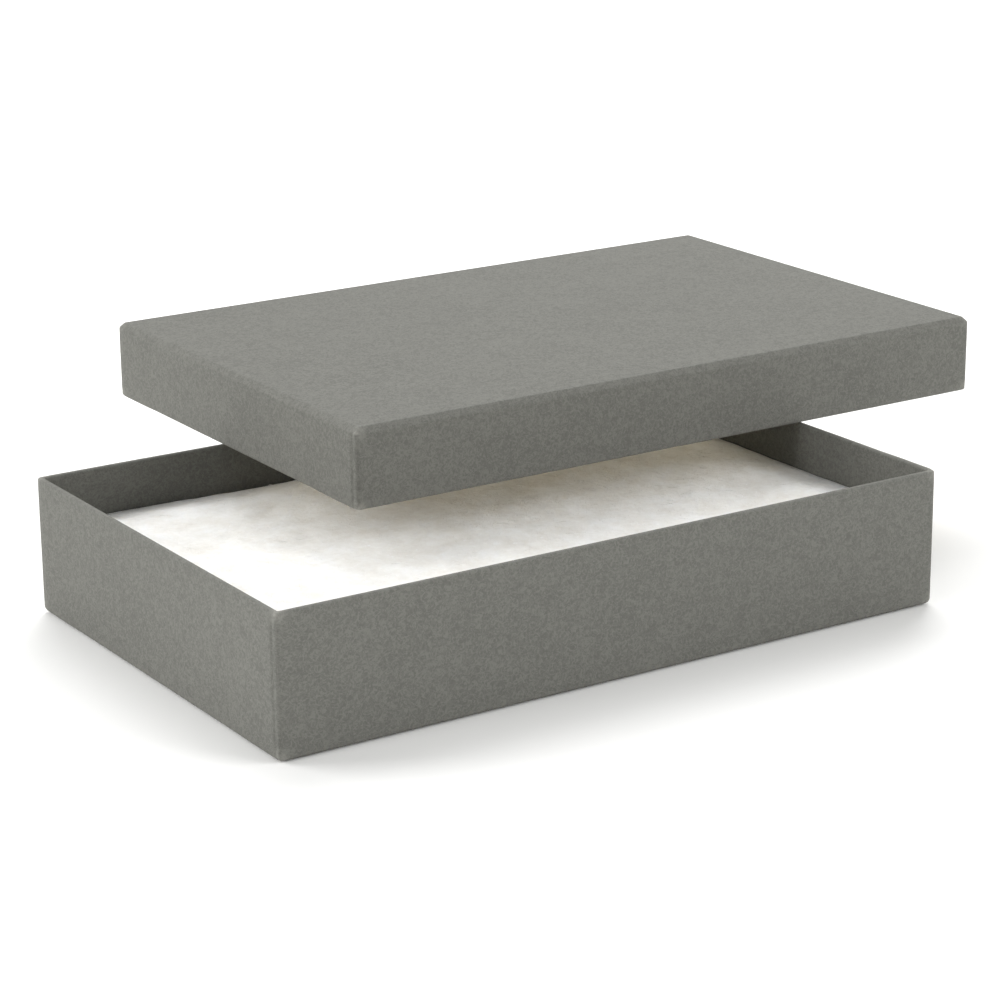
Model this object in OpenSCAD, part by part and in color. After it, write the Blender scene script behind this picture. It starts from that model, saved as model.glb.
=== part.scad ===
// Two-piece paper-covered box: a tray, a loose lid lying over its back right part, and a fibre pad.
// Millimetres. The origin is the centre of the tray's underside. +X runs along the long side,
// +Y along the short side, away from the open front corner, and +Z is up.

/* [Tray] */
// Outside length of the tray
tray_l = 138; // [120:0.5:160]
// Outside depth of the tray
tray_d = 90; // [75:0.5:105]
// Outside height of the tray
tray_h = 26; // [24:0.5:32]

/* [Lid] */
// Outside height of the lid
lid_h = 15; // [14:0.5:20]
// Space round the tray, on each side, when the lid is on
lid_clearance = 0.5; // [0.3:0.1:1]
// How far the lid lies along +X from its closed place
lid_shift_x = 39.5; // [20:0.5:50]
// How far the lid lies along +Y from its closed place
lid_shift_y = 40; // [20:0.5:50]
// Space between the tray's rim and the lid's lower edge
lid_gap = 0.2; // [0.1:0.1:1]

/* [Board, paper and tape] */
// Thickness of the greyboard
board_t = 0.85; // [0.7:0.05:1.2]
// Thickness of the covering and lining paper
paper_t = 0.15; // [0.1:0.05:0.2]
// Thickness of the corner tape, pressed flush into the board
tape_t = 0.1; // [0.05:0.05:0.2]
// Length of each leg of a corner tape
tape_leg = 10; // [6:1:14]
// Outside radius of the covered upright corners
corner_r = 0.9; // [0.6:0.05:1]
// Radius of the board's upright corners, under the lapped paper
board_corner_r = 1.6; // [1:0.1:1.8]
// Outside radius of the covered folds round the tray's floor
tray_fold_r = 1.1; // [0.6:0.05:1.2]
// Outside radius of the covered folds round the lid's top
lid_fold_r = 1.8; // [0.6:0.05:1.9]
// How far the tray's covering goes down inside the walls
tray_turn_in = 12; // [10:1:18]
// How far the lid's covering goes up inside the walls
lid_turn_in = 10; // [6:1:11]
// How far the tray's covering is turned under its bottom edge
turn_under = 8; // [5:1:12]

/* [Pad] */
// Height of the pad's top above the table
pad_top = 17.3; // [10:0.1:20]
// Space between the pad and the walls round it
pad_gap = 0.3; // [0.2:0.1:0.6]
// Space between the pad and the floor lining
pad_lift = 0.1; // [0.1:0.1:0.3]
// Corner radius of the pad
pad_r = 2; // [1:0.5:5]

/* [Hidden] */
SIDES = [["front_left", -1, -1], ["front_right", 1, -1], ["back_right", 1, 1], ["back_left", -1, 1]];

wall_t = board_t + 2 * paper_t;                  // board with paper on both faces
lid_l = tray_l + 2 * (lid_clearance + wall_t);
lid_d = tray_d + 2 * (lid_clearance + wall_t);
slit_w = 0.1;                                    // cut between two walls that meet edge to edge
tape_inset = 1.8;                                // bare board beyond each end of a corner tape
sheet_inset = 1.5;                               // bottom paper, in from the tray's edges
lining_gap = 0.2;                                // lining, in from the board's walls
tray_board_z = 2 * paper_t;                      // the board stands on the turned-under paper
tray_floor_z = tray_board_z + board_t + paper_t; // upper face of the floor lining

PAPER = [0.57, 0.565, 0.545];
BOARD = [0.52, 0.49, 0.43];
TAPE = [0.80, 0.74, 0.62];
FIBRE = [0.96, 0.955, 0.94];

// Rectangle centred on the origin, with round corners where r is above zero
module rounded_rect(l, d, r) {
    if (r <= 0) square([l, d], center = true);
    else {
        square([l, d - 2 * r], center = true);
        square([l - 2 * r, d], center = true);
        for (sx = [-1, 1], sy = [-1, 1])
            translate([sx * (l / 2 - r), sy * (d / 2 - r)]) circle(r, $fn = 32);
    }
}

// Flat sheet of the given thickness with its lower face at z
module sheet(l, d, r, z, t) {
    translate([0, 0, z]) linear_extrude(t) rounded_rect(l, d, r);
}

// Four upright walls of thickness t between two heights, outside size l by d
module walls(l, d, r, t, z_low, z_high) {
    translate([0, 0, z_low]) linear_extrude(z_high - z_low)
        difference() {
            rounded_rect(l, d, r);
            rounded_rect(l - 2 * t, d - 2 * t, r - t);
        }
}

// Side view of a folded panel with its walls: the two lower corners are round
module fold_outline(w, h, r) {
    translate([-w / 2, r]) square([w, h - r]);
    translate([r - w / 2, 0]) square([w - 2 * r, h]);
    for (side = [-1, 1]) translate([side * (w / 2 - r), r]) circle(r, $fn = 32);
}

// Solid block with its upright corners rounded by r and the folds round its lower face by fold
module folded_block(l, d, h, r, fold) {
    intersection() {
        linear_extrude(h) rounded_rect(l, d, r);
        rotate([90, 0, 90]) translate([0, 0, -l / 2]) linear_extrude(l) fold_outline(d, h, fold);
        rotate([90, 0, 0]) translate([0, 0, -d / 2]) linear_extrude(d) fold_outline(l, h, fold);
    }
}

// Paper tape folded round one outside corner of a board of size l by d
module corner_tape(l, d, side, z_low, z_high) {
    intersection() {
        walls(l, d, board_corner_r, tape_t, z_low, z_high);
        translate([side[1] * l / 2, side[2] * d / 2, (z_low + z_high) / 2])
            cube([2 * tape_leg, 2 * tape_leg, z_high - z_low + 1], center = true);
    }
}

// Board blank folded into a shallow tray, open at the top, with the folds round its flat rounded
// by fold. Its short walls stand between the long ones and meet them edge to edge, and each corner
// is pressed in by the thickness of its tape.
module folded_board(l, d, h, fold) {
    inner_l = l - 2 * board_t;
    inner_d = d - 2 * board_t;
    difference() {
        folded_block(l, d, h, board_corner_r, fold);
        sheet(inner_l, inner_d, 0, board_t, h);
        for (s = SIDES) {
            translate([s[1] * (l - board_t) / 2, s[2] * (inner_d - slit_w) / 2, board_t + h / 2])
                cube([board_t + 1, slit_w, h], center = true);
            corner_tape(l, d, s, tape_inset, h - tape_inset);
        }
    }
}

// One sheet of paper under the flat of a box open at the top, up its walls, over their edge at
// height h and down inside them by depth, with its folds rounded by fold
module cover_paper(l, d, h, depth, fold) {
    difference() {
        folded_block(l, d, h, corner_r, fold);
        translate([0, 0, paper_t])
            folded_block(l - 2 * paper_t, d - 2 * paper_t, h, board_corner_r, fold - paper_t);
    }
    walls(l, d, corner_r, wall_t, h - paper_t, h);
    walls(l - 2 * (wall_t - paper_t), d - 2 * (wall_t - paper_t), 0, paper_t, h - depth, h);
}

module tray_bottom_paper() {
    color(PAPER)
        sheet(tray_l - 2 * sheet_inset, tray_d - 2 * sheet_inset, corner_r, 0, paper_t);
}

// The tray's paper is a strip: it covers only the edge of the underside
module tray_cover_paper() {
    color(PAPER) translate([0, 0, paper_t])
        difference() {
            cover_paper(tray_l, tray_d, tray_h - paper_t, tray_turn_in, tray_fold_r);
            sheet(tray_l - 2 * turn_under, tray_d - 2 * turn_under, 0, -paper_t, 3 * paper_t);
        }
}

module tray_board() {
    color(BOARD)
        translate([0, 0, tray_board_z])
            folded_board(tray_l - 2 * paper_t, tray_d - 2 * paper_t, tray_h - paper_t - tray_board_z,
                         tray_fold_r - paper_t);
}

module tray_tape(side) {
    color(TAPE)
        corner_tape(tray_l - 2 * paper_t, tray_d - 2 * paper_t, side,
                    tray_board_z + tape_inset, tray_h - paper_t - tape_inset);
}

module tray_floor_lining() {
    inset = paper_t + board_t + lining_gap;
    color(PAPER)
        sheet(tray_l - 2 * inset, tray_d - 2 * inset, 0, tray_floor_z - paper_t, paper_t);
}

module fibre_pad() {
    inset = wall_t + pad_gap;
    color(FIBRE)
        sheet(tray_l - 2 * inset, tray_d - 2 * inset, pad_r,
              tray_floor_z + pad_lift, pad_top - tray_floor_z - pad_lift);
}

// Moves the lid's pieces from the lid's own frame, lower edge at z = 0, to where the lid lies
module lid_place() {
    translate([lid_shift_x, lid_shift_y, tray_h + lid_gap]) children();
}

// Turns a box open at the top, with its flat at z = 0, over into a lid open at the bottom
module turned_over() {
    translate([0, 0, lid_h]) mirror([0, 0, 1]) children();
}

module lid_cover_paper() {
    color(PAPER) lid_place() turned_over()
        cover_paper(lid_l, lid_d, lid_h, lid_turn_in, lid_fold_r);
}

module lid_board() {
    color(BOARD) lid_place() turned_over() translate([0, 0, paper_t])
        folded_board(lid_l - 2 * paper_t, lid_d - 2 * paper_t, lid_h - 2 * paper_t, lid_fold_r - paper_t);
}

module lid_tape(side) {
    color(TAPE) lid_place()
        corner_tape(lid_l - 2 * paper_t, lid_d - 2 * paper_t, side,
                    paper_t + tape_inset, lid_h - paper_t - tape_inset);
}

module lid_top_lining() {
    inset = paper_t + board_t + lining_gap;
    color(PAPER) lid_place()
        sheet(lid_l - 2 * inset, lid_d - 2 * inset, 0, lid_h - 2 * paper_t - board_t, paper_t);
}

tray_bottom_paper();
tray_cover_paper();
tray_board();
for (s = SIDES) tray_tape(s);
tray_floor_lining();
fibre_pad();
lid_cover_paper();
lid_board();
for (s = SIDES) lid_tape(s);
lid_top_lining();
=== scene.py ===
"""Archival box: a paper-covered tray with a fibre pad, and its loose lid.

Builds the covering paper, the pad and the studio round the box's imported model, which gives
every size and place. All lengths are in metres, in the model's own frame.
"""

import math
import random

import bmesh
import bpy
from mathutils import Matrix, Quaternion, Vector, noise


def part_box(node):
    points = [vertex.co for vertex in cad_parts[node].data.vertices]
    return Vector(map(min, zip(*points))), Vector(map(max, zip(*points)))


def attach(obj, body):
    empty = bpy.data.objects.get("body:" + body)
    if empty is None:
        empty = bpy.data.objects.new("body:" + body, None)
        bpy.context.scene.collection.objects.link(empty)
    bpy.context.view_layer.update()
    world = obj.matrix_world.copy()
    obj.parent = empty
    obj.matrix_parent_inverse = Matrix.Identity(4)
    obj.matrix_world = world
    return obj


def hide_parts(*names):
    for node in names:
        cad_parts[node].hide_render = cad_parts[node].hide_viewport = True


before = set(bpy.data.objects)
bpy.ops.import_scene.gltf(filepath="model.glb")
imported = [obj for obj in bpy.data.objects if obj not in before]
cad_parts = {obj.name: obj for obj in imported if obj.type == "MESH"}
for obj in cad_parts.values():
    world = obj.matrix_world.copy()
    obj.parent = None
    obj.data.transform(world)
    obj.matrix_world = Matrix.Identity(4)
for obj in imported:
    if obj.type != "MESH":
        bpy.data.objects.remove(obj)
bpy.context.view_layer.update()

bl_info = {
    "name": "Archival Box",
    "version": (1, 0, 0),
    "blender": (4, 5, 0),
    "location": "View3D > Sidebar > Archival Box",
    "description": "Covers a two-piece board box in paper, fills its tray with a fibre pad and lights it",
    "category": "Object",
}

MM = 0.001
SIDES = ("front_left", "front_right", "back_right", "back_left")

# How far the soft boxes stand from the origin
LIGHT_DISTANCE = 3.0
# Each one's azimuth from +X towards +Y and its elevation, in degrees, and the length of its side
SOFT_BOXES = {
    "back": (60, 50, 2.0),
    "back_right": (45, 22, 2.0),
    "back_left": (135, 22, 2.0),
    "front_right": (315, 22, 2.0),
    "left": (180, 22, 0.55),
}


def linear(hex_colour):
    """An sRGB hex colour as linear red, green and blue."""
    channels = [int(hex_colour[i : i + 2], 16) / 255 for i in (1, 3, 5)]
    return tuple(c / 12.92 if c <= 0.04045 else ((c + 0.055) / 1.055) ** 2.4 for c in channels)


def rgba(colour):
    """A linear colour with full opacity, as a node socket takes it."""
    return (*colour, 1.0)


# ---------------------------------------------------------------- settings


class BoxSettings(bpy.types.PropertyGroup):
    """How the paper lies over the board"""

    corner_radius: bpy.props.FloatProperty(
        name="Corner radius",
        description="Outside radius of the upright corners",
        default=0.9 * MM,
        min=0.3 * MM,
        max=1.0 * MM,
        unit="LENGTH",
    )
    tray_fold: bpy.props.FloatProperty(
        name="Tray fold",
        description="Width of the round folds under the tray's walls",
        default=1.1 * MM,
        min=0.3 * MM,
        max=1.2 * MM,
        unit="LENGTH",
    )
    lid_fold: bpy.props.FloatProperty(
        name="Lid fold",
        description="Width of the scored, nearly flat folds round the lid's top",
        default=1.2 * MM,
        min=0.6 * MM,
        max=1.3 * MM,
        unit="LENGTH",
    )
    crease_radius: bpy.props.FloatProperty(
        name="Crease radius",
        description="Radius of the two creases along a scored fold",
        default=0.45 * MM,
        min=0.2 * MM,
        max=1.0 * MM,
        unit="LENGTH",
    )
    edge_radius: bpy.props.FloatProperty(
        name="Free edge radius",
        description="Radius of the paper where it turns over the rim or the lid's lower edge",
        default=0.4 * MM,
        min=0.2 * MM,
        max=0.5 * MM,
        unit="LENGTH",
    )
    wall: bpy.props.FloatProperty(
        name="Wall",
        description="Board with paper on both faces",
        default=1.15 * MM,
        min=0.8 * MM,
        max=1.6 * MM,
        unit="LENGTH",
    )
    paper: bpy.props.FloatProperty(
        name="Paper",
        description="Thickness of the covering paper",
        default=0.15 * MM,
        min=0.1 * MM,
        max=0.2 * MM,
        unit="LENGTH",
    )
    tray_turn_in: bpy.props.FloatProperty(
        name="Tray turn-in",
        description="How far the tray's paper goes down inside the walls",
        default=12 * MM,
        min=10 * MM,
        max=18 * MM,
        unit="LENGTH",
    )
    lid_turn_in: bpy.props.FloatProperty(
        name="Lid turn-in",
        description="How far the lid's paper goes up inside the walls",
        default=10 * MM,
        min=6 * MM,
        max=11 * MM,
        unit="LENGTH",
    )
    turn_under: bpy.props.FloatProperty(
        name="Turn-under",
        description="Width of the tray's paper on its underside",
        default=8 * MM,
        min=5 * MM,
        max=12 * MM,
        unit="LENGTH",
    )
    tab: bpy.props.FloatProperty(
        name="Corner tab",
        description="How far a long wall's paper is lapped round the corner, under the short wall's",
        default=11 * MM,
        min=6 * MM,
        max=16 * MM,
        unit="LENGTH",
    )
    unevenness: bpy.props.FloatProperty(
        name="Unevenness",
        description="How far pasted paper and board stray from flat",
        default=0.05 * MM,
        min=0.0,
        max=0.1 * MM,
        unit="LENGTH",
    )


class PaperSettings(bpy.types.PropertyGroup):
    """Colours of the papers and the board"""

    cover: bpy.props.FloatVectorProperty(
        name="Cover paper",
        description="Body colour of the grey covering paper",
        subtype="COLOR",
        size=3,
        default=linear("#6a6a65"),
    )
    lining: bpy.props.FloatVectorProperty(
        name="Lining paper",
        description="Body colour of the pale lining paper",
        subtype="COLOR",
        size=3,
        default=linear("#ebe2ce"),
    )
    board: bpy.props.FloatVectorProperty(
        name="Greyboard",
        description="Body colour of the recycled board",
        subtype="COLOR",
        size=3,
        default=linear("#8c8678"),
    )
    tape: bpy.props.FloatVectorProperty(
        name="Corner tape",
        description="Body colour of the gummed paper tape",
        subtype="COLOR",
        size=3,
        default=linear("#c9b694"),
    )
    core: bpy.props.FloatVectorProperty(
        name="Worn paper",
        description="Colour of the paper's core, where an edge is rubbed",
        subtype="COLOR",
        size=3,
        default=linear("#a3a29b"),
    )


class PadSettings(bpy.types.PropertyGroup):
    """Shape and colour of the fibre pad"""

    crown: bpy.props.FloatProperty(
        name="Crown",
        description="How far the middle of the pad stands above its edges",
        default=1.1 * MM,
        min=0.0,
        max=3 * MM,
        unit="LENGTH",
    )
    lump: bpy.props.FloatProperty(
        name="Lump height",
        description="Height of the soft lumps in the wadding",
        default=0.8 * MM,
        min=0.0,
        max=2 * MM,
        unit="LENGTH",
    )
    lump_width: bpy.props.FloatProperty(
        name="Lump width",
        description="Width of the soft lumps in the wadding",
        default=13 * MM,
        min=4 * MM,
        max=30 * MM,
        unit="LENGTH",
    )
    wisps: bpy.props.IntProperty(
        name="Wisps",
        description="Number of loose fibres lying on the pad",
        default=420,
        min=0,
        max=2000,
    )
    seed: bpy.props.IntProperty(
        name="Seed",
        description="Seed of the lumps and the wisps",
        default=7,
        min=0,
    )
    colour: bpy.props.FloatVectorProperty(
        name="Fibre",
        description="Colour of the bleached fibre",
        subtype="COLOR",
        size=3,
        default=linear("#fdfcf9"),
    )
    hollow: bpy.props.FloatVectorProperty(
        name="Deep fibre",
        description="Colour where the wadding is thin and light is lost between its fibres",
        subtype="COLOR",
        size=3,
        default=linear("#ece9e3"),
    )


class StudioSettings(bpy.types.PropertyGroup):
    """Floor, lights and camera"""

    floor: bpy.props.FloatVectorProperty(
        name="Floor",
        description="Colour of the floor",
        subtype="COLOR",
        size=3,
        default=linear("#fcfcfb"),
    )
    surround: bpy.props.FloatVectorProperty(
        name="Surround",
        description="Even pale light from all round",
        subtype="COLOR",
        size=3,
        default=linear("#aeaead"),
    )
    back: bpy.props.FloatProperty(
        name="Back light",
        description="Power of the high soft light behind",
        default=57.5,
        min=0.0,
        max=200.0,
        unit="POWER",
    )
    back_right: bpy.props.FloatProperty(
        name="Back right light",
        description="Power of the low soft light behind on the right",
        default=36.3,
        min=0.0,
        max=200.0,
        unit="POWER",
    )
    front_right: bpy.props.FloatProperty(
        name="Front right light",
        description="Power of the low soft light in front on the right",
        default=61.3,
        min=0.0,
        max=200.0,
        unit="POWER",
    )
    back_left: bpy.props.FloatProperty(
        name="Back left light",
        description="Power of the low soft light behind on the left",
        default=68.8,
        min=0.0,
        max=200.0,
        unit="POWER",
    )
    left: bpy.props.FloatProperty(
        name="Left light",
        description="Power of the small light on the left, whose shadows are the sharpest",
        default=22.5,
        min=0.0,
        max=200.0,
        unit="POWER",
    )
    lens: bpy.props.FloatProperty(
        name="Lens",
        description="Focal length, on a sensor 36 mm wide",
        default=108.34,
        min=20.0,
        max=300.0,
        unit="CAMERA",
    )
    azimuth: bpy.props.FloatProperty(
        name="Azimuth",
        description="Way the camera looks, counted from +Y",
        default=math.radians(-33.01),
        unit="ROTATION",
    )
    elevation: bpy.props.FloatProperty(
        name="Elevation",
        description="How far the camera looks down",
        default=math.radians(17.53),
        unit="ROTATION",
    )
    roll: bpy.props.FloatProperty(
        name="Roll",
        description="Turn of the camera about its own axis",
        default=math.radians(-0.46),
        unit="ROTATION",
    )
    distance: bpy.props.FloatProperty(
        name="Distance",
        description="From the camera to the point it looks at",
        default=0.5564,
        min=0.1,
        max=5.0,
        unit="LENGTH",
    )
    aim: bpy.props.FloatVectorProperty(
        name="Aim",
        description="Point that the camera looks at",
        size=3,
        default=(3.3 * MM, -0.4 * MM, 20 * MM),
        unit="LENGTH",
        subtype="XYZ",
    )


# ---------------------------------------------------------------- materials


def add(tree, kind, inputs=None, **settings):
    """Adds one node with its settings.

    inputs maps a socket's name or number to a value, or to the node or socket that feeds it.
    """
    node = tree.nodes.new(kind)
    for name, value in settings.items():
        setattr(node, name, value)
    for socket, value in (inputs or {}).items():
        if isinstance(value, bpy.types.Node):
            value = next(output for output in value.outputs if output.enabled)
        if isinstance(value, bpy.types.NodeSocket):
            tree.links.new(value, node.inputs[socket])
        else:
            node.inputs[socket].default_value = value
    return node


def start_material(name, **sockets):
    """A new material with constant sockets set, its tree, its shader and object coordinates."""
    material = bpy.data.materials.new(name)
    material.use_nodes = True
    tree = material.node_tree
    shader = tree.nodes["Principled BSDF"]
    for socket, value in sockets.items():
        shader.inputs[socket.replace("_", " ")].default_value = value
    place = add(tree, "ShaderNodeTexCoord").outputs["Object"]
    return material, tree, shader, place


def mottle(tree, place, *layers):
    """Layers of noise added up round a half.

    A layer is (width of its features, strength, stretch along Z).
    """
    total = 0.5
    for width, strength, stretch in layers:
        drawn = add(tree, "ShaderNodeMapping", {"Vector": place, "Scale": (1.0, 1.0, 1 / stretch)})
        grain = {"Vector": drawn, "Scale": 1 / width, "Detail": 3.0, "Roughness": 0.6}
        layer = add(tree, "ShaderNodeTexNoise", grain)
        centred = add(tree, "ShaderNodeMath", {0: layer, 1: 0.5}, operation="SUBTRACT")
        weighed = {0: centred, 1: strength, 2: total}
        total = add(tree, "ShaderNodeMath", weighed, operation="MULTIPLY_ADD")
    return total


def fibre_web(tree, place, length, width, seed):
    """Curly lines where a noise crosses its middle value, as fibres lie in a web.

    It is 1 on a line and falls to 0 off it. length is the size of the curls, and seed moves them.
    Real fibres are about 0.03 mm wide, too fine to show, so width is several times that.
    """
    moved = add(tree, "ShaderNodeMapping", {"Vector": place, "Location": (seed, -seed, seed / 2)})
    curls = {"Vector": moved, "Scale": 1 / length, "Detail": 1.0, "Distortion": 1.2}
    field = add(tree, "ShaderNodeTexNoise", curls)
    centred = add(tree, "ShaderNodeMath", {0: field, 1: 0.5}, operation="SUBTRACT")
    away = add(tree, "ShaderNodeMath", {0: centred}, operation="ABSOLUTE")
    line = {"Value": away, "From Max": 0.35 * width / length, "To Min": 1.0, "To Max": 0.0}
    return add(tree, "ShaderNodeMapRange", line)


def shades(colour, spread):
    """A colour darkened and lightened by a share of itself, as node sockets take them."""
    return [rgba(min(1.0, c * (1 + way * spread)) for c in colour) for way in (-1, 1)]


def finish_surface(tree, shader, colour, relief, strength, depth):
    """Joins a colour and a relief of real depth to the shader."""
    bump = add(tree, "ShaderNodeBump", {"Height": relief, "Strength": strength, "Distance": depth})
    tree.links.new(next(output for output in colour.outputs if output.enabled), shader.inputs["Base Color"])
    tree.links.new(bump.outputs["Normal"], shader.inputs["Normal"])


def fibre_paper(name, colour, core, spread):
    """Uncoated archival paper, formed on a wire from mixed grey fibres.

    It has no gloss. The eye sees short curly fibres paler and darker than the sheet, a fine grain
    between them, a slow cloudiness from the forming, a few specks, and a paler core at rubbed edges.
    """
    material, tree, shader, place = start_material(name, Roughness=0.93, IOR=1.47, Specular_IOR_Level=0.25)
    pale = fibre_web(tree, place, 1.15 * MM, 0.25 * MM, 0.31)
    dark = fibre_web(tree, place, 0.95 * MM, 0.23 * MM, 0.77)
    ground = mottle(tree, place, (0.6 * MM, 1.2, 1.0), (1.6 * MM, 0.9, 1.0), (11 * MM, 0.7, 1.0))
    tone = add(tree, "ShaderNodeMath", {0: pale, 1: 0.85, 2: ground}, operation="MULTIPLY_ADD")
    tone = add(tree, "ShaderNodeMath", {0: dark, 1: -0.65, 2: tone}, operation="MULTIPLY_ADD")
    dim, bright = shades(colour, spread)
    sheet = add(tree, "ShaderNodeMix", {"Factor": tone, "A": dim, "B": bright}, data_type="RGBA")
    specks = mottle(tree, place, (0.55 * MM, 1.0, 1.0))
    dark_specks = {"Value": specks, "From Min": 0.70, "From Max": 0.74, "To Max": 0.35}
    speck = add(tree, "ShaderNodeMapRange", dark_specks)
    dark_fibre = rgba(c * 0.55 for c in colour)
    sheet = add(tree, "ShaderNodeMix", {"Factor": speck, "A": sheet, "B": dark_fibre}, data_type="RGBA")
    pale_specks = {"Value": specks, "From Min": 0.30, "From Max": 0.26, "To Max": 0.35}
    fleck = add(tree, "ShaderNodeMapRange", pale_specks)
    pale_fibre = rgba(c * 1.6 for c in colour)
    sheet = add(tree, "ShaderNodeMix", {"Factor": fleck, "A": sheet, "B": pale_fibre}, data_type="RGBA")
    wear = add(tree, "ShaderNodeAttribute", attribute_name="wear", attribute_type="GEOMETRY").outputs["Fac"]
    patches = mottle(tree, place, (0.8 * MM, 1.6, 1.0))
    rubbed = add(tree, "ShaderNodeMath", {0: wear, 1: patches}, operation="MULTIPLY", use_clamp=True)
    sheet = add(tree, "ShaderNodeMix", {"Factor": rubbed, "A": sheet, "B": rgba(core)}, data_type="RGBA")
    relief = add(tree, "ShaderNodeMath", {0: pale, 1: 0.35, 2: ground}, operation="MULTIPLY_ADD")
    finish_surface(tree, shader, sheet, relief, strength=0.35, depth=0.05 * MM)
    return material


def recycled_board(name, colour):
    """Greyboard, pressed from recycled paper and left uncovered.

    It is browner and coarser than the covering paper, with dark flecks of printed waste.
    """
    material, tree, shader, place = start_material(name, Roughness=0.95, IOR=1.47, Specular_IOR_Level=0.2)
    ground = mottle(tree, place, (0.9 * MM, 2.2, 1.0), (6 * MM, 1.0, 1.0))
    dim, bright = shades(colour, 0.2)
    board = add(tree, "ShaderNodeMix", {"Factor": ground, "A": dim, "B": bright}, data_type="RGBA")
    specks = mottle(tree, place, (0.5 * MM, 1.0, 1.0))
    dark_specks = {"Value": specks, "From Min": 0.66, "From Max": 0.72, "To Max": 0.6}
    speck = add(tree, "ShaderNodeMapRange", dark_specks)
    waste = rgba(c * 0.4 for c in colour)
    board = add(tree, "ShaderNodeMix", {"Factor": speck, "A": board, "B": waste}, data_type="RGBA")
    finish_surface(tree, shader, board, ground, strength=0.6, depth=0.08 * MM)
    return material


def kraft_tape(name, colour):
    """Gummed kraft tape, machine-glazed on its outer face.

    It is light brown and a little smoother than the paper, with fibres drawn out along the tape.
    """
    material, tree, shader, place = start_material(name, Roughness=0.7, IOR=1.5, Specular_IOR_Level=0.4)
    streaks = mottle(tree, place, (0.5 * MM, 1.5, 5.0), (4 * MM, 0.6, 1.0))
    dim, bright = shades(colour, 0.18)
    tape = add(tree, "ShaderNodeMix", {"Factor": streaks, "A": dim, "B": bright}, data_type="RGBA")
    finish_surface(tree, shader, tape, streaks, strength=0.3, depth=0.03 * MM)
    return material


def cotton_wadding(name, colour, hollow):
    """Carded and needled wadding of bleached cotton.

    Light goes deep into it and comes back soft and a little warm, so it has no gloss and hardly an
    edge: smoky patches where the web is thin, bright tufts where it is thick, and a down of fibres.
    """
    material, tree, shader, place = start_material(
        name,
        Roughness=1.0,
        IOR=1.5,
        Specular_IOR_Level=0.1,
        Subsurface_Weight=0.75,
        Subsurface_Radius=(1.0, 0.95, 0.88),
        Subsurface_Scale=8 * MM,
    )
    down = fibre_web(tree, place, 1.8 * MM, 0.3 * MM, 0.43)
    thickness = mottle(tree, place, (9 * MM, 2.1, 1.0), (2.4 * MM, 1.1, 1.0), (0.9 * MM, 0.7, 1.0))
    web = {"Factor": thickness, "A": rgba(hollow), "B": rgba(colour)}
    wadding = add(tree, "ShaderNodeMix", web, data_type="RGBA")
    neps = mottle(tree, place, (1.1 * MM, 1.0, 1.0))
    knots = {"Value": neps, "From Min": 0.66, "From Max": 0.74, "To Max": 0.9}
    nep = add(tree, "ShaderNodeMapRange", knots)
    tuft = {"Factor": nep, "A": wadding, "B": rgba(linear("#fffffe"))}
    wadding = add(tree, "ShaderNodeMix", tuft, data_type="RGBA")
    relief = add(tree, "ShaderNodeMath", {0: down, 1: 0.25, 2: thickness}, operation="MULTIPLY_ADD")
    finish_surface(tree, shader, wadding, relief, strength=0.55, depth=0.55 * MM)
    return material


def studio_paper(name, colour):
    """Seamless studio paper: matt and even, with only the faintest mottle."""
    material, tree, shader, place = start_material(name, Roughness=0.9, IOR=1.45, Specular_IOR_Level=0.1)
    cloud = mottle(tree, place, (60 * MM, 1.0, 1.0))
    dim, bright = shades(colour, 0.003)
    floor = add(tree, "ShaderNodeMix", {"Factor": cloud, "A": dim, "B": bright}, data_type="RGBA")
    finish_surface(tree, shader, floor, cloud, strength=0.1, depth=0.1 * MM)
    return material


# ---------------------------------------------------------------- paper skins


def arc(start, end, steps):
    """Sine and cosine of evenly spaced angles between two, given in degrees, the ends included."""
    angles = [math.radians(start + (end - start) * i / steps) for i in range(steps + 1)]
    return [(math.sin(angle), math.cos(angle)) for angle in angles]


def spaced(low, high, step):
    """Values from low to high, their ends included, no further apart than step."""
    count = max(1, math.ceil(abs(high - low) / step))
    return [low + (high - low) * i / count for i in range(count + 1)]


def smooth_step(low, high, value):
    """0 below low, 1 above high, and a smooth rise between them."""
    t = min(max((value - low) / (high - low), 0.0), 1.0)
    return t * t * (3 - 2 * t)


def skin_profile(height, flat, turn_in, fold, crease, box):
    """The paper's way over a box open at the top, as (inset, height, outward, upward, share).

    It starts flat in under the box, goes round the fold, up the wall, over the free edge and down
    inside. The fold is fold wide and has two creases of radius crease, which make it fully round
    when they are as wide. Inset is counted from the outer face, outward and upward are the
    surface's normal, and share says how far it is a wall.
    """
    edge, wall = box.edge_radius, box.wall
    easy = 0.12 * MM  # keeps the shading of the flats clear of the round edges
    points = [(u, 0.0, 0.0, -1.0, 0.0) for u in spaced(flat, fold + easy, 1.5 * MM)]
    points += [(fold - crease * s, crease * (1 - c), s, -c, s) for s, c in arc(0, 45, 3)]
    points += [(crease * (1 - s), fold - crease * c, s, -c, s) for s, c in arc(45, 90, 3)]
    points += [(0.0, z, 1.0, 0.0, 1.0) for z in spaced(fold + easy, height - edge - easy, 1.6 * MM)]
    points += [(edge * (1 - c), height - edge * (1 - s), c, s, 1.0) for s, c in arc(0, 90, 4)]
    points += [(wall - edge * (1 - s), height - edge * (1 - c), -s, c, 1.0) for s, c in arc(0, 90, 4)]
    inside = spaced(height - edge - easy, height - turn_in, 1.6 * MM)
    points += [(wall, z, -1.0, 0.0, 1.0) for z in inside]
    return points


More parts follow.
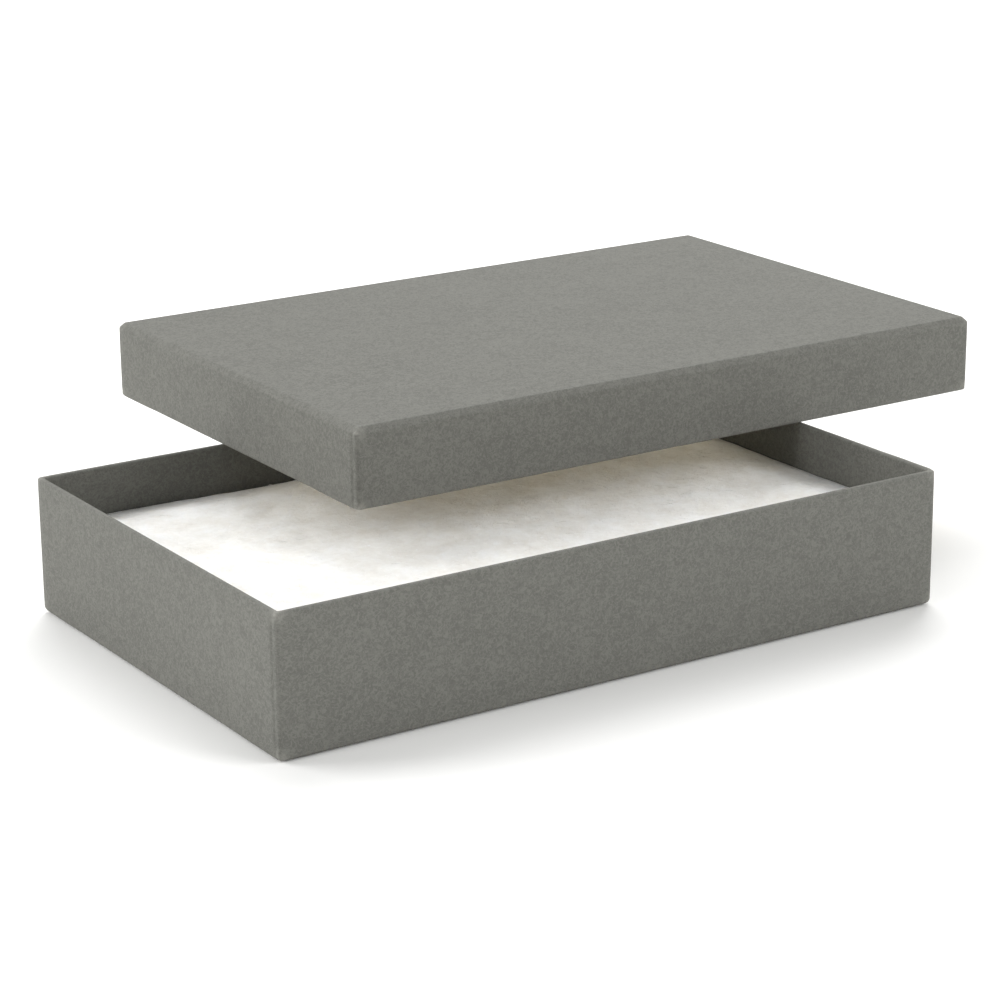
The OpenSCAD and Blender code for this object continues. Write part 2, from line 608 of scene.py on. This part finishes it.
def wall_stations(half_l, half_d, box):
    """Places round the box, counter-clockwise: (outward, along, half run, half across, part, value).

    part is "run" with a share of the straight run, or "turn" with an angle round the next corner.
    """
    stations = []
    # Close together near a corner, where the paper's edge over the tab makes a step
    near = [0.0, 0.12 * MM, 0.5 * MM, 0.62 * MM, 1.5 * MM, 3 * MM, 5 * MM]
    ways = [((0, -1), (1, 0)), ((1, 0), (0, 1)), ((0, 1), (-1, 0)), ((-1, 0), (0, -1))]
    for index, (outward, along) in enumerate(ways):
        half_run, half_across = (half_l, half_d) if index % 2 == 0 else (half_d, half_l)
        run = 2 * (half_run - box.corner_radius)
        inner = spaced(near[-1], run - near[-1], 2.5 * MM)
        places = near[:-1] + inner + [run - x for x in reversed(near[:-1])]
        for x in places:
            stations.append((Vector(outward), Vector(along), half_run, half_across, "run", x / run))
        for step in range(1, 6):
            angle = step / 6 * math.pi / 2
            stations.append((Vector(outward), Vector(along), half_run, half_across, "turn", angle))
    return stations


def station_point(station, inset, box):
    """Plan position and outward normal of a station at an inset from the outer face."""
    outward, along, half_run, half_across, part, value = station
    tight = 0.3 * MM if box.wall / 2 < inset <= box.wall else 0.0  # least radius inside a corner
    radius = max(box.corner_radius - inset, tight)
    reach = half_run - inset - radius
    if part == "run":
        plan = along * (2 * value - 1) * reach + outward * (half_across - inset)
        return plan, outward
    normal = outward * math.cos(value) + along * math.sin(value)
    plan = along * reach + outward * (half_across - inset - radius) + normal * radius
    return plan, normal


def lap_height(station, box):
    """How far a short wall's paper stands out over the tab lapped under it near the corner."""
    outward, _, half_run, _, part, value = station
    if part != "run" or abs(outward.x) < 0.5:
        return 0.0
    run = 2 * (half_run - box.corner_radius)
    away = min(value, 1 - value) * run
    seam = 0.55 * MM
    if away < seam:
        return 0.0
    pressed = 0.75  # how much of the tab's thickness still shows
    return pressed * box.paper * (1 - smooth_step(box.tab, box.tab + 3 * MM, away))


def corner_nearness(plan, z, half_l, half_d, height, reach):
    """1 at one of the box's eight corners, falling to 0 at reach from it."""
    dx = half_l - abs(plan.x)
    dy = half_d - abs(plan.y)
    dz = min(z, height - z)
    return max(0.0, 1 - math.sqrt(dx * dx + dy * dy + dz * dz) / reach)


def paper_skin(name, half_l, half_d, height, flat, turn_in, fold, crease, box, seed):
    """The covering paper of a box open at the top, its flat at z = 0: a closed sheet of real thickness.

    With flat as None the paper covers the whole flat; otherwise it is turned under by that much.
    """
    whole = flat is None
    inset_end = 3 * MM if whole else flat
    profile = skin_profile(height, inset_end, turn_in, fold, crease, box)
    stations = wall_stations(half_l, half_d, box)
    drift = Vector((seed * 3.7, seed * 1.3, seed * 2.1))
    broad_wave = 22 * MM
    small_wave = 6 * MM
    grit = 1.1 * MM
    bruised = 3.2 * MM  # how far the wear reaches from a corner

    mesh = bmesh.new()
    wear_layer = mesh.verts.layers.float.new("wear")
    rings = []
    for inset, z, outward, upward, share in profile:
        ring = []
        for station in stations:
            plan, normal = station_point(station, inset, box)
            place = Vector((plan.x, plan.y, z))
            wander = noise.noise(place / broad_wave + drift) * box.unevenness
            wander += noise.noise(place / small_wave + drift) * box.unevenness * 0.35
            near = corner_nearness(plan, z, half_l, half_d, height, bruised)
            bruise = near * near * (0.05 + 0.05 * noise.noise(place / grit + drift)) * MM
            lap = lap_height(station, box) if inset < box.wall / 2 else 0.0
            out = share * ((wander + lap) * outward + 0.4 * wander * upward) - bruise
            moved = plan + normal * (out * outward)
            vertex = mesh.verts.new((moved.x, moved.y, z + out * upward))
            on_turn = 1.0 if station[4] == "turn" else 0.0
            on_edge = 1.0 if (upward > 0.3 or 0.2 < outward < 0.98) else 0.0
            rubbed = 0.06 * on_turn * share + 0.10 * on_edge + 1.2 * near * near
            vertex[wear_layer] = min(1.0, rubbed)
            ring.append(vertex)
        rings.append(ring)
    count = len(stations)
    for lower, upper in zip(rings, rings[1:]):
        for i in range(count):
            j = (i + 1) % count
            mesh.faces.new((lower[i], lower[j], upper[j], upper[i]))
    if whole:
        fill_flat(mesh, rings[0], stations, drift, box)
    bmesh.ops.remove_doubles(mesh, verts=mesh.verts, dist=0.004 * MM)
    data = bpy.data.meshes.new(name)
    mesh.to_mesh(data)
    mesh.free()
    data.shade_smooth()
    piece = bpy.data.objects.new(name, data)
    bpy.context.scene.collection.objects.link(piece)
    thicken = piece.modifiers.new("Paper thickness", "SOLIDIFY")
    thicken.thickness = box.paper
    thicken.offset = -1
    return piece


def fill_flat(mesh, ring, stations, drift, box):
    """Fills the middle of the flat with a grid that meets the first ring's straight runs."""
    sides = [[], [], [], []]
    order = [(0, -1), (1, 0), (0, 1), (-1, 0)]
    for vertex, station in zip(ring, stations):
        if station[4] == "run":
            sides[order.index(tuple(int(c) for c in station[0]))].append(vertex)
    xs = [v.co.x for v in sides[0]]
    ys = [v.co.y for v in sides[1]]
    low_x, high_x, low_y, high_y = xs[0], xs[-1], ys[0], ys[-1]
    wear_layer = mesh.verts.layers.float["wear"]
    grid = []
    for j, y in enumerate(ys):
        row = []
        for i, x in enumerate(xs):
            border = i in (0, len(xs) - 1) or j in (0, len(ys) - 1)
            place = Vector((x, y, 0.0))
            inside = min(x - low_x, high_x - x, y - low_y, high_y - y) / (8 * MM)
            z = 0.0
            if not border:
                z = noise.noise(place / (30 * MM) + drift) * box.unevenness * min(1.0, inside)
            vertex = mesh.verts.new((x, y, z))
            vertex[wear_layer] = 0.0
            row.append(vertex)
        grid.append(row)
    for lower, upper in zip(grid, grid[1:]):
        for i in range(len(xs) - 1):
            mesh.faces.new((lower[i], upper[i], upper[i + 1], lower[i + 1]))


def give(objects, material):
    """Makes a material the only one of each object."""
    for piece in objects:
        piece.data.materials.clear()
        piece.data.materials.append(material)


def half_sizes(low, high):
    """Half length, half depth and centre of a box in plan."""
    centre = (low + high) / 2
    return (high.x - low.x) / 2, (high.y - low.y) / 2, centre


# ---------------------------------------------------------------- the pad


def slab(name, low, high, step):
    """A closed block of quads between two corners, divided about every step."""
    size = high - low
    mesh = bmesh.new()
    bmesh.ops.create_cube(mesh, size=1.0)
    bmesh.ops.scale(mesh, vec=size, verts=mesh.verts)
    bmesh.ops.translate(mesh, vec=(low + high) / 2, verts=mesh.verts)
    for axis in range(3):
        normal = Vector((0, 0, 0))
        normal[axis] = 1.0
        for cut in spaced(low[axis], high[axis], step)[1:-1]:
            where = Vector((0, 0, 0))
            where[axis] = cut
            geometry = mesh.verts[:] + mesh.edges[:] + mesh.faces[:]
            bmesh.ops.bisect_plane(mesh, geom=geometry, plane_co=where, plane_no=normal)
    data = bpy.data.meshes.new(name)
    mesh.to_mesh(data)
    mesh.free()
    piece = bpy.data.objects.new(name, data)
    bpy.context.scene.collection.objects.link(piece)
    return piece


def apply_modifiers(piece):
    """Swaps the piece's mesh for its evaluated one and drops its modifiers."""
    graph = bpy.context.evaluated_depsgraph_get()
    data = bpy.data.meshes.new_from_object(piece.evaluated_get(graph))
    piece.modifiers.clear()
    piece.data = data


def swell(piece, pressure, frames, cap):
    """Lets the wadding spring out as cloth under a light pressure, no point further than cap."""
    rest = [v.co.copy() for v in piece.data.vertices]
    cloth = piece.modifiers.new("Swell", "CLOTH")
    cloth.settings.use_pressure = True
    cloth.settings.uniform_pressure_force = pressure
    cloth.settings.effector_weights.gravity = 0
    cloth.settings.quality = 5
    cloth.point_cache.frame_start = 1
    cloth.point_cache.frame_end = frames
    for number in range(1, frames + 1):
        bpy.context.scene.frame_set(number)
    apply_modifiers(piece)
    bpy.context.scene.frame_set(1)
    for vertex, start in zip(piece.data.vertices, rest):
        move = vertex.co - start
        if move.length > cap:
            vertex.co = start + move * (cap / move.length)


def press(value, wall):
    """Squeezes a distance from the middle so that it ends just short of a wall."""
    give_way = 1.5 * MM
    free = wall - give_way
    if abs(value) <= free:
        return value
    return math.copysign(wall - give_way * math.exp((free - abs(value)) / give_way), value)


def settle_in_tray(piece, low, high, pad):
    """Presses the swollen wadding against the tray's walls and floor and gives its top soft lumps."""
    drift = Vector((pad.seed * 1.7, pad.seed * 2.9, pad.seed * 0.7))
    middle = (low + high) / 2
    spread = 1.05  # takes its rounded sides to the walls
    shoulder = 11 * MM  # how far in from a wall its top goes on rising
    edge_drop = 0.25 * MM
    for vertex in piece.data.vertices:
        place = vertex.co
        for axis in (0, 1):
            out = (place[axis] - middle[axis]) * spread
            place[axis] = middle[axis] + press(out, high[axis] - middle[axis])
        if place.z > middle.z:
            from_wall = min(place.x - low.x, high.x - place.x, place.y - low.y, high.y - place.y)
            rise = smooth_step(0.5 * MM, shoulder, from_wall)
            plan = Vector((place.x, place.y, 0))
            broad = noise.noise(plan / pad.lump_width + drift)
            small = noise.noise(plan / (pad.lump_width * 0.36) + drift)
            tuft = noise.noise(plan / (pad.lump_width * 0.13) + drift)
            top = high.z - edge_drop + pad.crown * rise
            top += pad.lump * (0.7 * broad + 0.35 * small + 0.14 * tuft) * (0.35 + 0.65 * rise)
            share = smooth_step(middle.z, high.z - 3 * MM, place.z)
            place.z += (top - place.z) * share
        place.z = max(place.z, low.z)


def make_wisps(name, surface, low, high, pad):
    """Loose fibres on the pad, each a thin curl that follows the surface under it.

    They are thicker than real cotton fibres, which are too fine to show.
    """
    step = 0.55 * MM
    clear = 0.1 * MM  # between a fibre and the tray's wall
    above = Vector((0, 0, high.z + 10 * MM))
    down = Vector((0, 0, -1))
    dice = random.Random(pad.seed)
    curve = bpy.data.curves.new(name, "CURVE")
    curve.dimensions = "3D"
    curve.bevel_depth = 0.035 * MM
    curve.bevel_resolution = 0
    graph = bpy.context.evaluated_depsgraph_get()
    shown = surface.evaluated_get(graph)
    for _ in range(pad.wisps):
        place = Vector((dice.uniform(low.x, high.x), dice.uniform(low.y, high.y), 0))
        heading = dice.uniform(0, 2 * math.pi)
        bend = dice.uniform(-0.5, 0.5)
        lift = dice.uniform(0.02, 0.35) * MM
        steps = dice.randint(6, 12)
        points = []
        for number in range(steps):
            heading += bend + dice.uniform(-0.25, 0.25)
            place = place + Vector((math.cos(heading), math.sin(heading), 0)) * step
            place.x = min(max(place.x, low.x + clear), high.x - clear)
            place.y = min(max(place.y, low.y + clear), high.y - clear)
            hit, where, _, _ = shown.ray_cast(place + above, down)
            if not hit:
                break
            arch = math.sin(math.pi * number / (steps - 1))
            points.append(where + Vector((0, 0, lift * arch)))
        if len(points) < 4:
            continue
        spline = curve.splines.new("POLY")
        spline.points.add(len(points) - 1)
        for number, point in enumerate(points):
            spline.points[number].co = (*point, 1)
            spline.points[number].radius = 0.4 + 0.6 * math.sin(math.pi * number / (len(points) - 1))
    piece = bpy.data.objects.new(name, curve)
    bpy.context.scene.collection.objects.link(piece)
    return piece


# ---------------------------------------------------------------- studio


def soft_light(name, power, azimuth, elevation, size):
    """A square soft box turned to the origin, its angles in degrees."""
    data = bpy.data.lights.new(name, "AREA")
    data.shape = "SQUARE"
    data.size = size
    data.energy = power
    light = bpy.data.objects.new(name, data)
    around, up = math.radians(azimuth), math.radians(elevation)
    way = Vector((math.cos(around) * math.cos(up), math.sin(around) * math.cos(up), math.sin(up)))
    light.location = way * LIGHT_DISTANCE
    light.rotation_mode = "QUATERNION"
    light.rotation_quaternion = (-way).to_track_quat("-Z", "Y")
    bpy.context.scene.collection.objects.link(light)
    return light


def make_floor(studio):
    """A round floor under the box, wide enough to fill any view."""
    radius = 8.0
    mesh = bmesh.new()
    bmesh.ops.create_circle(mesh, cap_ends=True, segments=96, radius=radius)
    data = bpy.data.meshes.new("floor")
    mesh.to_mesh(data)
    mesh.free()
    floor = bpy.data.objects.new("floor", data)
    bpy.context.scene.collection.objects.link(floor)
    give([floor], studio_paper("Seamless studio paper", studio.floor))


def make_surround(studio):
    """Even light from all round, which also shows past the floor's edge."""
    surround = bpy.data.worlds.new("Pale surround")
    surround.use_nodes = True
    background = surround.node_tree.nodes["Background"]
    background.inputs["Color"].default_value = rgba(studio.surround)
    bpy.context.scene.world = surround


def make_camera(studio):
    """A camera that looks at the aim from its azimuth and elevation, without shift."""
    data = bpy.data.cameras.new("Camera")
    data.lens = studio.lens
    data.sensor_width = 36.0
    camera = bpy.data.objects.new("Camera", data)
    around, up = studio.azimuth, studio.elevation
    back = Vector((math.sin(around) * math.cos(up), -math.cos(around) * math.cos(up), math.sin(up)))
    camera.location = Vector(studio.aim) + back * studio.distance
    camera.rotation_mode = "QUATERNION"
    level = (-back).to_track_quat("-Z", "Y")
    camera.rotation_quaternion = level @ Quaternion((0, 0, 1), studio.roll)
    bpy.context.scene.collection.objects.link(camera)
    bpy.context.scene.camera = camera


# ---------------------------------------------------------------- operators


def cover_material():
    """The covering paper, made once for all the pieces that wear it."""
    colours = bpy.context.scene.archival_paper
    name = "Grey fibre paper"
    return bpy.data.materials.get(name) or fibre_paper(name, colours.cover, colours.core, spread=0.15)


class ARCHIVALBOX_OT_tray_cover(bpy.types.Operator):
    """Covers the tray's walls in paper, over the rim and under its edge"""

    bl_idname = "archival_box.tray_cover"
    bl_label = "Tray cover"

    def execute(self, context):
        box = context.scene.archival_box
        low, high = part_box("tray_cover_paper")
        half_l, half_d, centre = half_sizes(low, high)
        piece = paper_skin(
            "tray_cover",
            half_l,
            half_d,
            high.z - low.z,
            box.turn_under,
            box.tray_turn_in,
            box.tray_fold,
            box.tray_fold,
            box,
            seed=1,
        )
        piece.data.transform(Matrix.Translation((centre.x, centre.y, low.z)))
        give([piece], cover_material())
        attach(piece, "tray")
        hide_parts("tray_cover_paper")
        return {"FINISHED"}


class ARCHIVALBOX_OT_lid_cover(bpy.types.Operator):
    """Covers the lid's top and walls in one sheet of paper, turned in over the lower edge"""

    bl_idname = "archival_box.lid_cover"
    bl_label = "Lid cover"

    def execute(self, context):
        box = context.scene.archival_box
        low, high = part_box("lid_cover_paper")
        half_l, half_d, centre = half_sizes(low, high)
        piece = paper_skin(
            "lid_cover",
            half_l,
            half_d,
            high.z - low.z,
            None,
            box.lid_turn_in,
            box.lid_fold,
            box.crease_radius,
            box,
            seed=2,
        )
        piece.data.transform(Matrix.Rotation(math.pi, 4, "X"))
        piece.data.transform(Matrix.Translation((centre.x, centre.y, high.z)))
        give([piece], cover_material())
        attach(piece, "lid")
        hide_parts("lid_cover_paper")
        return {"FINISHED"}


class ARCHIVALBOX_OT_inner_pieces(bpy.types.Operator):
    """Finishes the flat papers, the boards and the corner tapes"""

    bl_idname = "archival_box.inner_pieces"
    bl_label = "Linings, boards and tapes"

    def execute(self, context):
        colours = context.scene.archival_paper
        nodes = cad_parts
        give([nodes["tray_bottom_paper"]], cover_material())
        lining = fibre_paper("Pale lining paper", colours.lining, colours.lining, spread=0.05)
        give([nodes["tray_floor_lining"], nodes["lid_top_lining"]], lining)
        give([nodes["tray_board"], nodes["lid_board"]], recycled_board("Recycled greyboard", colours.board))
        tapes = [nodes[f"{part}_tape_{side}"] for part in ("tray", "lid") for side in SIDES]
        give(tapes, kraft_tape("Gummed kraft tape", colours.tape))
        return {"FINISHED"}


class ARCHIVALBOX_OT_pad(bpy.types.Operator):
    """Fills the tray with swollen fibre wadding and strews loose fibres on it"""

    bl_idname = "archival_box.pad"
    bl_label = "Fibre pad"

    def execute(self, context):
        pad = context.scene.archival_pad
        low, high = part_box("fibre_pad")
        margin = Vector((0.12 * MM, 0.12 * MM, 0.0))  # how far it goes on towards the walls
        inner_low, inner_high = low - margin, high + margin
        shrink = Vector((1.5 * MM, 1.5 * MM, 1.0 * MM))  # it starts smaller, because it swells
        piece = slab("pad", low + shrink, high - shrink, 4 * MM)
        swell(piece, pressure=4.0, frames=20, cap=3 * MM)
        fine = piece.modifiers.new("Fine", "SUBSURF")
        fine.subdivision_type = "CATMULL_CLARK"
        fine.levels = fine.render_levels = 2
        apply_modifiers(piece)
        settle_in_tray(piece, inner_low, inner_high, pad)
        piece.data.shade_smooth()
        wadding = cotton_wadding("Bleached cotton wadding", pad.colour, pad.hollow)
        give([piece], wadding)
        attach(piece, "pad")
        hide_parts("fibre_pad")

        wisps = make_wisps("pad_wisps", piece, inner_low, inner_high, pad)
        give([wisps], wadding)
        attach(wisps, "pad")
        return {"FINISHED"}


class ARCHIVALBOX_OT_studio(bpy.types.Operator):
    """Sets the floor, the soft lights and the camera"""

    bl_idname = "archival_box.studio"
    bl_label = "Studio"

    def execute(self, context):
        studio = context.scene.archival_studio
        make_floor(studio)
        make_surround(studio)
        for name, (azimuth, elevation, size) in SOFT_BOXES.items():
            soft_light(f"{name}_light", getattr(studio, name), azimuth, elevation, size)
        make_camera(studio)
        context.scene.view_settings.view_transform = "Standard"
        return {"FINISHED"}


OPERATORS = (
    ARCHIVALBOX_OT_tray_cover,
    ARCHIVALBOX_OT_lid_cover,
    ARCHIVALBOX_OT_inner_pieces,
    ARCHIVALBOX_OT_pad,
    ARCHIVALBOX_OT_studio,
)


class ARCHIVALBOX_PT_panel(bpy.types.Panel):
    """Lists the steps that make the box"""

    bl_idname = "ARCHIVALBOX_PT_panel"
    bl_label = "Archival Box"
    bl_space_type = "VIEW_3D"
    bl_region_type = "UI"
    bl_category = "Archival Box"

    def draw(self, context):
        for operator in OPERATORS:
            self.layout.operator(operator.bl_idname)


SETTINGS = {
    "archival_box": BoxSettings,
    "archival_paper": PaperSettings,
    "archival_pad": PadSettings,
    "archival_studio": StudioSettings,
}


def register():
    for cls in (*SETTINGS.values(), *OPERATORS, ARCHIVALBOX_PT_panel):
        bpy.utils.register_class(cls)
    for name, cls in SETTINGS.items():
        setattr(bpy.types.Scene, name, bpy.props.PointerProperty(type=cls))


def unregister():
    for name in SETTINGS:
        delattr(bpy.types.Scene, name)
    for cls in (ARCHIVALBOX_PT_panel, *reversed(OPERATORS), *reversed(list(SETTINGS.values()))):
        bpy.utils.unregister_class(cls)


def main():
    """Makes every piece and the studio."""
    register()
    bpy.ops.archival_box.studio()
    bpy.ops.archival_box.tray_cover()
    bpy.ops.archival_box.lid_cover()
    bpy.ops.archival_box.inner_pieces()
    bpy.ops.archival_box.pad()


if __name__ == "__main__":
    main()
